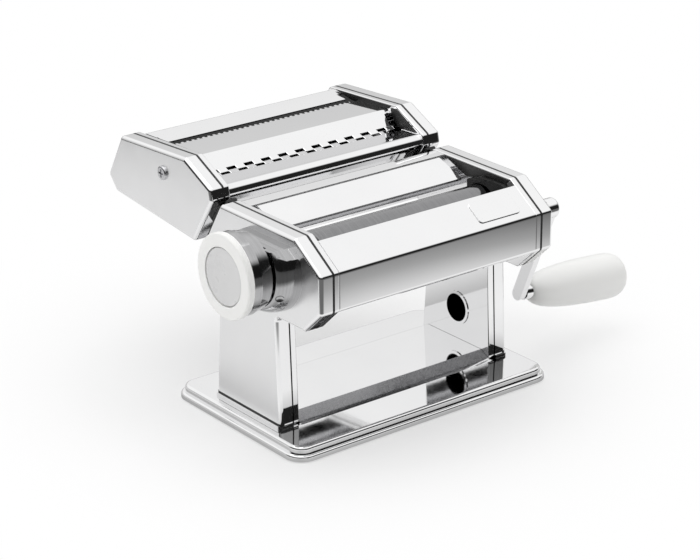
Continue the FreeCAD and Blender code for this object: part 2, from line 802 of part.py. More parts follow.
def cutter_axes():
    half = cutter_spacing / 2
    return [wide_nip - half, wide_nip + half, fine_nip - half, fine_nip + half]


def cutter_plate():
    plate = flanged_plate(cutter_outline)
    for y in cutter_axes():
        plate = plate.cut(rod(cutter_journal + 2.0, plate_in - 1, flange_end, y, cutter_axis_height))
    for y, z in cutter_ties + [(screw_y, screw_z)]:
        plate = plate.cut(rod(stud_radius + fit_gap, plate_in - 1, flange_end, y, z))
    return plate


def cutter_cover():
    shell = prism(cutter_outline, cover_start, cover_face, 0, corner_round)
    shell = rounded_face(shell, cover_face, edge_round)
    inner_round = corner_round - cover_sheet
    shell = shell.cut(prism(cutter_outline, cover_start - 1, cover_inside, cover_sheet, inner_round))
    for y, z in cutter_posts:
        shell = shell.fuse(rod(3.0, plate_out, cover_inside + 0.3, y, z))
    return shell.removeSplitter().cut(rod(1.6, cover_inside - 1, cover_face + 1, screw_y, screw_z))


def cutter_crank_cover():
    shell = cutter_cover()
    axes = cutter_axes()
    for y in (axes[0], axes[3]):
        shell = shell.cut(rod(crank_hole, cover_inside - 1, cover_face + 1, y, cutter_axis_height))
    return shell


def cutter_bushes():
    rings = []
    for y in cutter_axes():
        rings.append(flanged_bush(cutter_journal, 2.0, y, cutter_axis_height).common(
            rod(cutter_journal + 2.6, 0, cover_face, y, cutter_axis_height)))
        ring = rod(cutter_journal + 2.0, plate_in, plate_out + bush_flange, y, cutter_axis_height)
        ring = ring.cut(rod(cutter_far_journal + running_fit, 0, cover_face, y, cutter_axis_height))
        rings.append(flipped(ring))
    return rings


def cutting_roller(y, width, offset, socket):
    # broad discs with grooves between them, so that a pair interleaves
    z = cutter_axis_height
    body = rod(groove_radius, -roller_end, roller_end, y, z)
    pitch = 2 * width
    discs = []
    count = int(roller_span / pitch) + 1
    for i in range(-count, count + 1):
        x0 = max(i * pitch + offset - width / 2 + disc_play / 2, -roller_end)
        x1 = min(i * pitch + offset + width / 2 - disc_play / 2, roller_end)
        if x1 - x0 > width / 4:
            discs.append(rod(cutter_radius, x0, x1, y, z))
    body = body.multiFuse(discs)
    body = body.fuse(rod(cutter_far_journal, -plate_out - bush_flange - 0.5, 0, y, z))
    body = body.fuse(rod(cutter_journal, 0, gear_end + (4.5 if socket else 0.5), y, z)).removeSplitter()
    if socket:
        body = body.cut(rod(shank_radius + running_fit, plate_in - 12, cover_face, y, z))
        half = cross_pin_radius + 0.1
        body = body.cut(box(gear_end + 1.5, cover_face, y - 9, y + 9, z - half, z + half))
    return body


def cutting_gear(y, turn):
    return gear(cutter_teeth, cutter_spacing / 2, cutter_tooth_reach, cutter_tooth_depth, cutter_journal,
                gear_start, gear_end, y, cutter_axis_height, turn)


def slope_notches(y0, y1, z0, z1):
    right = box(plate_in - 4.6, plate_in + 1, y0, y1, z0, z1)
    return right.fuse(flipped(right))


def cutter_front_panel():
    line = [(55.5, 139.9), (38.0, 140.9), (34.9, 138.8), (33.9, 134.2), (52.0, 106.6)]
    return bent_sheet(line, panel_sheet, -plate_in, plate_in)


def cutter_middle_panel():
    line = [(95.0, 144.0), (69.0, 150.2), (61.0, 141.6)]
    return bent_sheet(line, panel_sheet, -plate_in, plate_in).cut(slope_notches(50.0, 67.0, 130.0, 148.3))


def cutter_rear_panel():
    line = [(138.0, 113.0), (145.8, 121.8), (129.8, 149.6), (119.5, 150.2), (103.5, 145.2)]
    return bent_sheet(line, panel_sheet, -plate_in, plate_in).cut(slope_notches(100.0, 117.0, 140.0, 149.2))


def cutter_combs(nip):
    # a stripper blade under each roller of a pair
    half = cutter_spacing / 2
    blades = []
    for side in (-1, 1):
        axis = nip + side * half
        tip = (axis - side * 2.0, cutter_axis_height - cutter_radius - 0.8)
        tail = (axis + side * 4.5, cutter_axis_height - cutter_radius - 3.2)
        line = [tip, tail] if side < 0 else [tail, tip]
        blades.append(bent_sheet(line, panel_sheet, -plate_in, plate_in))
    return blades


def cutter_tie_rods():
    rods = []
    for y, z in cutter_ties:
        tie = rod(3.2, -plate_in, plate_in, y, z)
        rods.append(tie.fuse(rod(stud_radius, -plate_out - 1.5, plate_out + 1.5, y, z)).removeSplitter())
    tie = rod(3.2, -plate_in, plate_in, screw_y, screw_z)
    tie = tie.fuse(rod(stud_radius, -cover_inside, cover_inside, screw_y, screw_z)).removeSplitter()
    for side in (-1, 1):
        hole = rod(1.6, cover_inside - 8.5, cover_face, screw_y, screw_z)
        tie = tie.cut(hole if side > 0 else flipped(hole))
    rods.append(tie)
    return rods


def cover_screws():
    head = rod(screw_head, cover_face, cover_face + 1.6, screw_y, screw_z)
    outer = [e for e in head.Edges if all(abs(v.X - cover_face - 1.6) < 1e-6 for v in e.Vertexes)]
    head = head.makeFillet(1.0, outer)
    screw = head.fuse(rod(1.55, cover_inside - 8.0, cover_face + 0.5, screw_y, screw_z)).removeSplitter()
    arm = box(cover_face + 0.6, cover_face + 3, screw_y - 2.6, screw_y + 2.6, screw_z - 0.6, screw_z + 0.6)
    bar = box(cover_face + 0.6, cover_face + 3, screw_y - 0.6, screw_y + 0.6, screw_z - 2.6, screw_z + 2.6)
    screw = screw.cut(arm).cut(bar)
    return [screw, flipped(screw)]


# base and body
save("base_plate", base_plate())
save("rubber_feet", *rubber_feet())
save("base_screws", *base_screws())
save("left_inner_plate", flipped(inner_plate()))
save("right_inner_plate", crank_side_plate())
save("left_side_cover", knob_side_cover())
save("right_side_cover", crank_side_cover())
liner = seam_liner(main_outline, base_top + 7)
save("seam_liners", liner, flipped(liner))
save("front_cover", front_cover())
save("name_badge", name_badge())
save("rear_cover", rear_cover())
save("rear_feed_guide", rear_feed_guide())
end_guide = hopper_end_guide()
save("hopper_end_guides", end_guide, flipped(end_guide))
save("front_scraper", scraper(drive_axis, drive_height, -1))
save("rear_scraper", scraper(carried_axis, axis_height, 1))
save("tie_rods", *tie_rods())
save("frame_nuts", *(base_nuts() + tie_nuts()))
save("drive_bushes", *drive_bushes())
save("adjuster_bushes", *adjuster_bushes())
save("clamp_socket", clamp_socket())
save("dial_boss", dial_boss())
rail = cutter_rail()
save("cutter_rails", rail, flipped(rail))

# rollers
save("drive_roller", drive_roller())
save("drive_gear", drive_gear())
save("carried_roller", carried_roller())
save("carried_gear", carried_gear())
block = bearing_block()
save("left_bearing_block", flipped(block))
save("right_bearing_block", block)

# adjuster and knob
save("adjuster_shaft", adjuster_shaft())
save("stop_washer", stop_washer())
save("knob_skirt", knob_skirt())
save("knob_cap", knob_cap())
save("knob_inlay", knob_inlay())
save("index_pin", index_pin())
save("knob_spring", knob_spring())

# crank
save("crank_arm", crank_arm())
save("cross_pin", cross_pin())
save("handle_pin", handle_pin())
save("crank_handle", crank_handle())

# cutter head
save("cutter_left_plate", flipped(cutter_plate()))
save("cutter_right_plate", cutter_plate())
save("cutter_left_cover", flipped(cutter_cover()))
save("cutter_right_cover", cutter_crank_cover())
cutter_liner = seam_liner(cutter_outline, 0)
save("cutter_seam_liners", cutter_liner, flipped(cutter_liner))
save("cutter_front_panel", cutter_front_panel())
save("cutter_middle_panel", cutter_middle_panel())
save("cutter_rear_panel", cutter_rear_panel())
save("cutter_combs", *(cutter_combs(wide_nip) + cutter_combs(fine_nip)))
save("cutter_tie_rods", *cutter_tie_rods())
save("cutter_bushes", *cutter_bushes())
save("cover_screws", *cover_screws())
channel = cutter_channel()
save("cutter_channels", channel, flipped(channel))
wide_front, wide_rear, fine_front, fine_rear = cutter_axes()
half_tooth = math.pi / cutter_teeth
save("wide_front_roller", cutting_roller(wide_front, wide_disc, 0, True))
save("wide_rear_roller", cutting_roller(wide_rear, wide_disc, wide_disc, False))
save("fine_front_roller", cutting_roller(fine_front, fine_disc, 0, False))
save("fine_rear_roller", cutting_roller(fine_rear, fine_disc, fine_disc, True))
save("wide_front_gear", cutting_gear(wide_front, 0))
save("wide_rear_gear", cutting_gear(wide_rear, half_tooth))
save("fine_front_gear", cutting_gear(fine_front, 0))
save("fine_rear_gear", cutting_gear(fine_rear, half_tooth))
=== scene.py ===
import bpy
import json
import math
from mathutils import Matrix, Vector


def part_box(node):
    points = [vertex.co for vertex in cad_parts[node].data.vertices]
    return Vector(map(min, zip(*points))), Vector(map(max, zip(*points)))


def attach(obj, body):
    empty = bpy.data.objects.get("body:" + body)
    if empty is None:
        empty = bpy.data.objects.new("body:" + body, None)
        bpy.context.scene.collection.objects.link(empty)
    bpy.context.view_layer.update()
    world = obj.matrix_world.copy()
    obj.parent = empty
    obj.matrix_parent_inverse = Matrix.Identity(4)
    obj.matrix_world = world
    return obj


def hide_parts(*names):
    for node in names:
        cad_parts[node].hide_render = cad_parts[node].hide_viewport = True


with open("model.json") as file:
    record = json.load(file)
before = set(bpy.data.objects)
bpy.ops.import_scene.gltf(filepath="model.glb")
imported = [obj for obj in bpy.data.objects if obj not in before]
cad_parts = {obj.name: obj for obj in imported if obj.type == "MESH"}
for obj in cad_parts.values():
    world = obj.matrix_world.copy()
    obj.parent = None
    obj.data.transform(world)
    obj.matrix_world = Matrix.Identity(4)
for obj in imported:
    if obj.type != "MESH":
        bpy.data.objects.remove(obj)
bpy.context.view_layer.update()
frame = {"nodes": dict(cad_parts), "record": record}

nodes = frame["nodes"]
baseLow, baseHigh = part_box("base_plate")
baseMiddle = (baseLow + baseHigh) / 2
tiny = 1e-6  # metres; points closer than this are the same
sides = (("Left", -1), ("Right", 1))
white = (1, 1, 1)


def place(x, y, z):  # millimetres about the middle of the base, as metres in the frame
    return Vector((baseMiddle.x + x / 1000, baseMiddle.y + y / 1000, z / 1000))


def clearSelection():
    if bpy.context.object and bpy.context.object.mode != "OBJECT":
        bpy.ops.object.mode_set(mode="OBJECT")
    bpy.ops.object.select_all(action="DESELECT")


def onlySelect(piece):
    clearSelection()
    piece.select_set(True)
    bpy.context.view_layer.objects.active = piece


# shader steps

def startMaterial(name):
    material = bpy.data.materials.new(name)
    material.use_nodes = True
    return material, material.node_tree, material.node_tree.nodes["Principled BSDF"]


def objectCoords(tree):
    return tree.nodes.new("ShaderNodeTexCoord").outputs["Object"]


def faceNormal(tree):
    return tree.nodes.new("ShaderNodeNewGeometry").outputs["Normal"]


def splitAxes(tree, source):
    split = tree.nodes.new("ShaderNodeSeparateXYZ")
    tree.links.new(source, split.inputs["Vector"])
    return split.outputs


def distance(tree, source, point):
    away = tree.nodes.new("ShaderNodeVectorMath")
    away.operation = "DISTANCE"
    away.inputs[1].default_value = point
    tree.links.new(source, away.inputs[0])
    return away.outputs["Value"]


def mathStep(tree, operation, *values):
    step = tree.nodes.new("ShaderNodeMath")
    step.operation = operation
    for socket, value in zip(step.inputs, values):
        if isinstance(value, float):
            socket.default_value = value
        else:
            tree.links.new(value, socket)
    return step.outputs[0]


def spread(tree, source, start, end, low=0, high=1):  # low at start, high at end
    span = tree.nodes.new("ShaderNodeMapRange")
    for key, value in (("From Min", start), ("From Max", end), ("To Min", low), ("To Max", high)):
        span.inputs[key].default_value = value
    tree.links.new(source, span.inputs["Value"])
    return span.outputs["Result"]


def blend(tree, factor, colour, shade):  # the colour where the factor is 0, the shade where it is 1
    mix = tree.nodes.new("ShaderNodeMix")
    mix.data_type = "RGBA"
    mix.inputs["B"].default_value = (*shade, 1)
    tree.links.new(factor, mix.inputs["Factor"])
    tree.links.new(colour, mix.inputs["A"])
    return mix.outputs["Result"]


def greyRamp(tree, source, stops):
    ramp = tree.nodes.new("ShaderNodeValToRGB")
    marks = ramp.color_ramp.elements
    while len(marks) < len(stops):
        marks.new(1)
    for mark, (position, grey) in zip(marks, stops):
        mark.position = position
        mark.color = (grey, grey, grey, 1)
    tree.links.new(source, ramp.inputs["Fac"])
    return ramp.outputs["Color"]


def addNoise(tree, scale, detail, stretch):
    mapping = tree.nodes.new("ShaderNodeMapping")
    mapping.inputs["Scale"].default_value = stretch
    noise = tree.nodes.new("ShaderNodeTexNoise")
    noise.inputs["Scale"].default_value = scale
    noise.inputs["Detail"].default_value = detail
    tree.links.new(objectCoords(tree), mapping.inputs["Vector"])
    tree.links.new(mapping.outputs["Vector"], noise.inputs["Vector"])
    return noise.outputs["Fac"]


# materials

def paintShadeOn(tree, colour, paintedShade):  # painted shade on faces that look one way, or within a radius of an axis
    if "facing" in paintedShade:
        axisName, start, end = paintedShade["facing"]
        source = splitAxes(tree, faceNormal(tree))[axisName]
    else:
        split = splitAxes(tree, objectCoords(tree))
        flat = tree.nodes.new("ShaderNodeCombineXYZ")
        for axisName in "YZ":
            tree.links.new(split[axisName], flat.inputs[axisName])
        axis = place(0, *paintedShade["axis"])
        source = distance(tree, flat.outputs["Vector"], (0, axis.y, axis.z))
        start, end = (paintedShade["radius"] + paintedShade["blur"]) / 1000, (paintedShade["radius"] - paintedShade["blur"]) / 1000
    return blend(tree, spread(tree, source, start, end), colour, paintedShade["shade"])


def satinFace(tree, rough, satin):  # duller on the flat outer face than round the bends
    level = mathStep(tree, "ABSOLUTE", splitAxes(tree, faceNormal(tree))["X"])
    return mathStep(tree, "ADD", rough, spread(tree, level, *surface["flatFace"], 0, satin))


def finish(name, look):
    material, tree, shader = startMaterial(name)
    stretch = look.get("stretch", (1, 1, 1))
    shader.inputs["Metallic"].default_value = look["metal"]
    shader.inputs["IOR"].default_value = surface["ior"]
    ramp = tree.nodes.new("ShaderNodeValToRGB")
    for mark, key in zip(ramp.color_ramp.elements, ("dark", "light")):
        mark.color = (*look[key], 1)
    tone = addNoise(tree, look["toneScale"], surface["toneDetail"], stretch)
    tree.links.new(tone, ramp.inputs["Fac"])
    colour = ramp.outputs["Color"]
    if "paintedShade" in look:
        colour = paintShadeOn(tree, colour, look["paintedShade"])
    tree.links.new(colour, shader.inputs["Base Color"])
    grain = addNoise(tree, look["grainScale"], surface["grainDetail"], stretch)
    rough = spread(tree, grain, *surface["noiseSpan"], *look["rough"])
    if "satin" in look:
        rough = satinFace(tree, rough, look["satin"])
    tree.links.new(rough, shader.inputs["Roughness"])
    bump = tree.nodes.new("ShaderNodeBump")
    bump.inputs["Strength"].default_value = look["bump"]
    bump.inputs["Distance"].default_value = surface["grainDepth"]
    tree.links.new(grain, bump.inputs["Height"])
    tree.links.new(bump.outputs["Normal"], shader.inputs["Normal"])
    return material


surface = {"ior": 1.5, "toneDetail": 3, "grainDetail": 4, "grainDepth": 0.0002,
           "noiseSpan": (0.3, 0.7),  # most of the noise lies in it
           "flatFace": (0.93, 0.995)}  # how far a cover's face looks along x
looks = {
    "polishedSteel": {"metal": 1, "dark": (0.87, 0.87, 0.875), "light": (0.92, 0.92, 0.922),
                      "toneScale": 30, "grainScale": 90, "rough": (0.035, 0.06), "bump": 0.004},
    "platedSteel": {"metal": 1, "dark": (0.55, 0.55, 0.57), "light": (0.66, 0.66, 0.67),
                    "toneScale": 60, "grainScale": 400, "rough": (0.2, 0.34), "bump": 0.05},
    # painted shade: the rollers' steel is kept dark for the shade inside the hopper and cutter head; the
    # stretched grain is their grinding
    "rollerSteel": {"metal": 1, "dark": (0.2, 0.2, 0.205), "light": (0.34, 0.34, 0.345),
                    "toneScale": 40, "grainScale": 60, "stretch": (30, 1, 1),
                    "rough": (0.08, 0.16), "bump": 0.03},
    "turnedSteel": {"metal": 1, "dark": (0.36, 0.36, 0.365), "light": (0.54, 0.54, 0.545),
                    "toneScale": 26, "grainScale": 60, "stretch": (34, 1, 1),
                    "rough": (0.07, 0.16), "bump": 0.02},
    # painted shade: near-black steel so the slide channels and rails read as the shadowed gap behind the
    # cutter head
    "gapShadeSteel": {"metal": 1, "dark": (0.02, 0.02, 0.02), "light": (0.06, 0.06, 0.06),
                       "toneScale": 60, "grainScale": 300, "rough": (0.22, 0.36), "bump": 0.03},
    "blackPlastic": {"metal": 0, "dark": (0.004, 0.004, 0.004), "light": (0.012, 0.012, 0.012),
                     "toneScale": 80, "grainScale": 900, "rough": (0.38, 0.52), "bump": 0.08},
    "bushBrass": {"metal": 1, "dark": (0.6, 0.44, 0.2), "light": (0.76, 0.58, 0.3),
                  "toneScale": 70, "grainScale": 500, "rough": (0.22, 0.36), "bump": 0.05},
    "footRubber": {"metal": 0, "dark": (0.025, 0.025, 0.025), "light": (0.05, 0.05, 0.05),
                   "toneScale": 120, "grainScale": 1200, "rough": (0.7, 0.9), "bump": 0.15},
    "whitePlastic": {"metal": 0, "dark": (0.86, 0.86, 0.845), "light": (0.9, 0.9, 0.885),
                     "toneScale": 25, "grainScale": 500, "rough": (0.28, 0.34), "bump": 0.003},
    "greyPlastic": {"metal": 0, "dark": (0.66, 0.66, 0.66), "light": (0.7, 0.7, 0.7),
                    "toneScale": 12, "grainScale": 60, "rough": (0.26, 0.3), "bump": 0.0005},
}
polished = looks["polishedSteel"]
paintedInsideShade = (0.02, 0.02, 0.02)  # painted shade on the insides of the covers, the rear panel and the clamp's socket
upFacingShade = (0.64, 0.64, 0.645)  # painted shade, a darker grey on the strip in front of the wide slot where it faces straight up
# painted shade: near black on the side covers' inward faces
looks["knobCoverSteel"] = {**polished, "satin": 0.25,
                           "paintedShade": {"facing": ("X", 0.4, 0.6), "shade": paintedInsideShade}}
looks["crankCoverSteel"] = {**polished, "satin": 0.25,
                            "paintedShade": {"facing": ("X", -0.4, -0.6), "shade": paintedInsideShade}}
# painted shade: near black on the rear panel's inner face
looks["rearPanelSteel"] = {**polished, "paintedShade": {"facing": ("Y", -0.4, -0.6), "shade": paintedInsideShade}}
# painted shade: the cutter's front panel is greyer where it faces straight up
looks["frontPanelSteel"] = {**polished, "paintedShade": {"facing": ("Z", 0.95, 0.97), "shade": upFacingShade}}
# painted shade: near black inside the clamp's socket
looks["socketSteel"] = {**polished, "paintedShade": {"axis": (-1.0, 35.0), "radius": 9.3, "blur": 0.15,
                                             "shade": paintedInsideShade}}
finishes = {name: finish(name, look) for name, look in looks.items()}
slotFinish = {"polished_steel": "polishedSteel", "plain_steel": "platedSteel", "roller_steel": "rollerSteel",
              "black_plastic": "blackPlastic", "bush_brass": "bushBrass", "foot_rubber": "footRubber",
              "white_plastic": "whitePlastic", "grey_plastic": "greyPlastic"}
nodeFinish = {"dial_boss": "turnedSteel", "knob_skirt": "turnedSteel", "clamp_socket": "socketSteel",
              "left_side_cover": "knobCoverSteel", "right_side_cover": "crankCoverSteel",
              "cutter_left_cover": "knobCoverSteel", "cutter_right_cover": "crankCoverSteel",
              "cutter_front_panel": "frontPanelSteel", "cutter_rear_panel": "rearPanelSteel",
              # painted shade on the slide channels and rails
              "cutter_channels": "gapShadeSteel", "cutter_rails": "gapShadeSteel"}
slotOf = {part["node"]: part["material_slot"] for part in frame["record"]["subparts"]}


def paint(piece, nodeName):
    name = nodeFinish.get(nodeName, slotFinish[slotOf[nodeName]])
    piece.data.materials.clear()
    piece.data.materials.append(finishes[name])


for nodeName, node in nodes.items():
    paint(node, nodeName)
print("finishes on", len(nodes), "nodes")


# shaping steps

def selectEdges(piece, wanted):  # leaves edit mode on, with the edges whose ends pass the test selected
    bpy.ops.object.mode_set(mode="EDIT")
    bpy.ops.mesh.select_mode(type="EDGE")
    bpy.ops.mesh.select_all(action="DESELECT")
    bpy.ops.object.mode_set(mode="OBJECT")
    for edge in piece.data.edges:
        edge.select = wanted(*[piece.data.vertices[i].co for i in edge.vertices])
    bpy.ops.object.mode_set(mode="EDIT")


def selectAlong(piece, point):  # edges that run along the rollers through a point
    def through(*ends):
        return all(abs(end.y - point.y) < tiny and abs(end.z - point.z) < tiny for end in ends)
    selectEdges(piece, through)


def roundEdges(width, steps):
    bpy.ops.mesh.bevel(offset=width / 1000, segments=steps, affect="EDGES")


def faceOutward():
    bpy.ops.mesh.select_all(action="SELECT")
    bpy.ops.mesh.normals_make_consistent(inside=False)


def prism(name, outline, start, width):  # an outline of (y, z) set at a place on x and drawn out along x
    clearSelection()
    bpy.ops.mesh.primitive_circle_add(vertices=len(outline), fill_type="NGON", location=(0, 0, 0))
    piece = bpy.context.object
    piece.name = name
    for vertex, (y, z) in zip(piece.data.vertices, outline):
        vertex.co = place(start, y, z)
    bpy.ops.object.mode_set(mode="EDIT")
    bpy.ops.mesh.select_all(action="SELECT")
    bpy.ops.mesh.extrude_region_move(TRANSFORM_OT_translate={"value": (width / 1000, 0, 0)})
    faceOutward()
    bpy.ops.object.mode_set(mode="OBJECT")
    return piece


def thicken(piece, thickness, even):  # inward from the drawn face
    wall = piece.modifiers.new("wall", "SOLIDIFY")
    wall.thickness = thickness / 1000
    wall.offset = -1
    wall.use_even_offset = even


def applyModifiers(piece):
    onlySelect(piece)
    for modifier in list(piece.modifiers):
        bpy.ops.object.modifier_apply(modifier=modifier.name)


def combine(piece, other, operation):
    join = piece.modifiers.new("join", "BOOLEAN")
    join.operation = operation
    join.object = other
    applyModifiers(piece)
    bpy.data.objects.remove(other)


softening = {"steps": 3, "bevelAbove": 40, "smoothBelow": 35, "faceWeight": 100}  # angles in degrees


def finishPiece(piece, nodeName, body, softEdge, stands=True):  # stands: it takes the node's place
    edge = piece.modifiers.new("edge", "BEVEL")
    edge.width = softEdge / 1000
    edge.segments = softening["steps"]
    edge.limit_method = "ANGLE"
    edge.angle_limit = math.radians(softening["bevelAbove"])
    applyModifiers(piece)
    bpy.ops.object.transform_apply(location=True, rotation=True, scale=True)
    bpy.ops.object.shade_smooth_by_angle(angle=math.radians(softening["smoothBelow"]))
    weights = piece.modifiers.new("weights", "WEIGHTED_NORMAL")  # flat faces stay flat beside the bends
    weights.keep_sharp = True
    weights.weight = softening["faceWeight"]
    bpy.ops.object.modifier_apply(modifier=weights.name)
    paint(piece, nodeName)
    if stands:
        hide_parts(nodeName)
    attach(piece, body)


# pressed sheets with rounded bends

def foldedSheet(name, nodeName, body, sheet):
    low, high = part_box(nodeName)
    points = [place(0, y, z) for y, z in sheet["line"]]
    clearSelection()
    bpy.ops.mesh.primitive_plane_add(size=1, location=(0, 0, 0))
    piece = bpy.context.object
    piece.name = name
    for vertex in piece.data.vertices:  # the first strip, between the first two points
        end = points[0] if vertex.co.y < 0 else points[1]
        vertex.co = Vector((low.x if vertex.co.x < 0 else high.x, end.y, end.z))
    for here, there in zip(points[1:], points[2:]):
        selectAlong(piece, here)
        step = (0, there.y - here.y, there.z - here.z)
        bpy.ops.mesh.extrude_region_move(TRANSFORM_OT_translate={"value": step})
    for bend, corner in zip(sheet["bends"], points[1:-1]):
        selectAlong(piece, corner)
        roundEdges(bend, pressing["steps"])
    faceOutward()
    bpy.ops.object.mode_set(mode="OBJECT")
    outward = Vector((0, points[1].z - points[0].z, points[0].y - points[1].y))
    firstFace = min(piece.data.polygons, key=lambda face: (face.center - points[0]).length)
    if firstFace.normal.dot(outward) < 0:
        bpy.ops.object.mode_set(mode="EDIT")
        bpy.ops.mesh.flip_normals()
        bpy.ops.object.mode_set(mode="OBJECT")
    thicken(piece, sheet["thickness"], True)
    for notch in sheet.get("notches", []):
        cutNotch(piece, notch)
    finishPiece(piece, nodeName, body, pressing["edge"])


def cutNotch(piece, notch):  # a box, given by its two ends along x, y and z
    clearSelection()
    bpy.ops.mesh.primitive_cube_add(size=1, location=place(*[sum(pair) / 2 for pair in notch]))
    box = bpy.context.object
    box.scale = [abs(high - low) / 1000 for low, high in notch]
    combine(piece, box, "DIFFERENCE")


pressing = {"steps": 8, "edge": 0.25}
frontSheet = {"line": [(-52.0, 129.6), (-53.2, 132.2), (-73.5, 118.5), (-73.5, 95.0), (-70.5, 92.8)],
              "bends": [0.8, 1.6, 1.2], "thickness": 0.8}
rearSheet = {"line": [(39.4, 98.0), (39.4, 110.0), (24.2, 134.4), (13.0, 134.4)],
             "bends": [2.0, 2.0], "thickness": 0.8}
feedSheet = {"line": [(21.5, 133.6), (12.5, 133.6), (-9.5, 125.6), (-9.0, 124.0)],
             "bends": [2.0, 0.7], "thickness": 0.8}
cutterFrontSheet = {"line": [(55.5, 139.9), (38.0, 140.9), (34.9, 138.8), (33.9, 134.2), (52.0, 106.6)],
                    "bends": [1.3, 1.3, 1.6], "thickness": 0.8}
cutterMiddleSheet = {"line": [(100.5, 148.2), (69.0, 150.2), (61.0, 141.6)], "bends": [1.4], "thickness": 0.8,
                     "notches": [((70.4, 76), (50, 67), (130, 148.3)),
                                 ((-76, -70.4), (50, 67), (130, 148.3))]}
cutterRearSheet = {"line": [(138.0, 113.0), (145.8, 121.8), (127.5, 149.8), (107.3, 148.4)],
                   "bends": [1.6, 1.6], "thickness": 0.8,
                   "notches": [((70.4, 76), (100, 117), (140, 149.2)),
                               ((-76, -70.4), (100, 117), (140, 149.2))]}
foldedSheet("frontSheet", "front_cover", "frame", frontSheet)
foldedSheet("rearSheet", "rear_cover", "frame", rearSheet)
foldedSheet("feedSheet", "rear_feed_guide", "frame", feedSheet)
foldedSheet("cutterFrontSheet", "cutter_front_panel", "cutter_head", cutterFrontSheet)
foldedSheet("cutterMiddleSheet", "cutter_middle_panel", "cutter_head", cutterMiddleSheet)
foldedSheet("cutterRearSheet", "cutter_rear_panel", "cutter_head", cutterRearSheet)
print("sheets folded")


# combs along the cutter slots

def combRow(name, comb):  # one tooth shaped, then a row of it along the rollers
    clearSelection()
    bpy.ops.mesh.primitive_cube_add(size=1, location=(0, 0, 0))
    piece = bpy.context.object
    piece.name = name
    for vertex in piece.data.vertices:
        y, z = comb["root"] if vertex.co.y < 0 else comb["tip"]
        lift = comb["thickness"] * (vertex.co.z - 0.5)  # the tooth's top is on the line from root to tip
        vertex.co = place(comb["first"] + comb["width"] * vertex.co.x, y, z + lift)
    bpy.ops.object.mode_set(mode="EDIT")
    bpy.ops.mesh.select_mode(type="EDGE")
    bpy.ops.mesh.select_all(action="SELECT")
    roundEdges(comb["round"], tooth["steps"])
    bpy.ops.object.mode_set(mode="OBJECT")
    row = piece.modifiers.new("row", "ARRAY")
    row.count = comb["count"]
    row.use_relative_offset = False
    row.use_constant_offset = True
    row.constant_offset_displace = (comb["pitch"] / 1000, 0, 0)
    finishPiece(piece, comb["like"], "cutter_head", tooth["edge"], False)


tooth = {"steps": 3, "edge": 0.1}
wideFrontComb = {"root": (54.6, 139.7), "tip": (59.1, 140.7), "first": -68.25, "width": 6.3, "pitch": 13,
                 "count": 11, "thickness": 0.6, "round": 0.5, "like": "cutter_front_panel"}
wideRearComb = {"root": (61.4, 142.0), "tip": (57.7, 140.6), "first": -61.75, "width": 6.3, "pitch": 13,
                "count": 11, "thickness": 0.6, "round": 0.5, "like": "cutter_middle_panel"}
fineComb = {"root": (100.2, 148.0), "tip": (103.3, 147.8), "first": -70, "width": 1.9, "pitch": 4,
            "count": 36, "thickness": 0.6, "round": 0.3, "like": "cutter_middle_panel"}
combRow("wideFrontComb", wideFrontComb)
combRow("wideRearComb", wideRearComb)
combRow("fineComb", fineComb)
print("combs set")


# turned pieces

def spin(name, profile, steps):  # a profile of (along x, radius) turned about the x axis
    clearSelection()
    bpy.ops.mesh.primitive_plane_add(size=0.001, location=(0, 0, 0))
    piece = bpy.context.object
    piece.name = name
    bpy.ops.object.mode_set(mode="EDIT")
    bpy.ops.mesh.select_mode(type="VERT")
    bpy.ops.mesh.select_all(action="SELECT")
    bpy.ops.mesh.merge(type="CENTER")
    x, radius = profile[0]
    bpy.ops.transform.translate(value=(x / 1000, 0, radius / 1000))
    for (x0, r0), (x1, r1) in zip(profile, profile[1:]):
        step = ((x1 - x0) / 1000, 0, (r1 - r0) / 1000)
        bpy.ops.mesh.extrude_region_move(TRANSFORM_OT_translate={"value": step})
    bpy.ops.mesh.select_all(action="SELECT")
    bpy.ops.mesh.spin(steps=steps, angle=2 * math.pi, center=(0, 0, 0), axis=(1, 0, 0))
    bpy.ops.mesh.select_all(action="SELECT")
    bpy.ops.mesh.remove_doubles(threshold=tiny)
    faceOutward()
    bpy.ops.object.mode_set(mode="OBJECT")
    return piece


def makeGrip():
    piece = spin("crankGrip", crankGrip["profile"], crankGrip["steps"])
    smooth = piece.modifiers.new("smooth", "SUBSURF")
    smooth.levels = crankGrip["smoothing"]
    hang = Matrix.Translation((crankGrip["armFace"] / 1000, 0, -crankGrip["throw"] / 1000))
    piece.matrix_world = (Matrix.Translation(place(0, *crankGrip["axis"]))
                          @ Matrix.Rotation(math.radians(crankGrip["lean"]), 4, "X") @ hang
                          @ Matrix.Rotation(math.radians(crankGrip["droop"]), 4, "Y"))
    finishPiece(piece, "crank_handle", "handle", crankGrip["edge"])


def makeDish():
    piece = spin("knobDish", knobDish["profile"], knobDish["steps"])
    piece.location = place(0, *knobDish["axis"])
    finishPiece(piece, "knob_inlay", "knob", knobDish["edge"])


def makeBoss():
    piece = spin("trimmedBoss", boss["profile"], boss["steps"])
    piece.location = place(0, *boss["axis"])
    onlySelect(piece)
    bpy.ops.object.transform_apply(location=True, rotation=True, scale=True)
    combine(piece, prism("capBlock", boss["face"], *boss["faceDepth"]), "INTERSECT")
    clearSelection()
    bpy.ops.mesh.primitive_uv_sphere_add(segments=boss["dimpleSteps"], ring_count=boss["dimpleSteps"] // 2,
                                         radius=boss["dimpleRadius"] / 1000, location=place(*boss["dimple"]))
    combine(piece, bpy.context.object, "DIFFERENCE")
    finishPiece(piece, "dial_boss", "frame", boss["edge"])


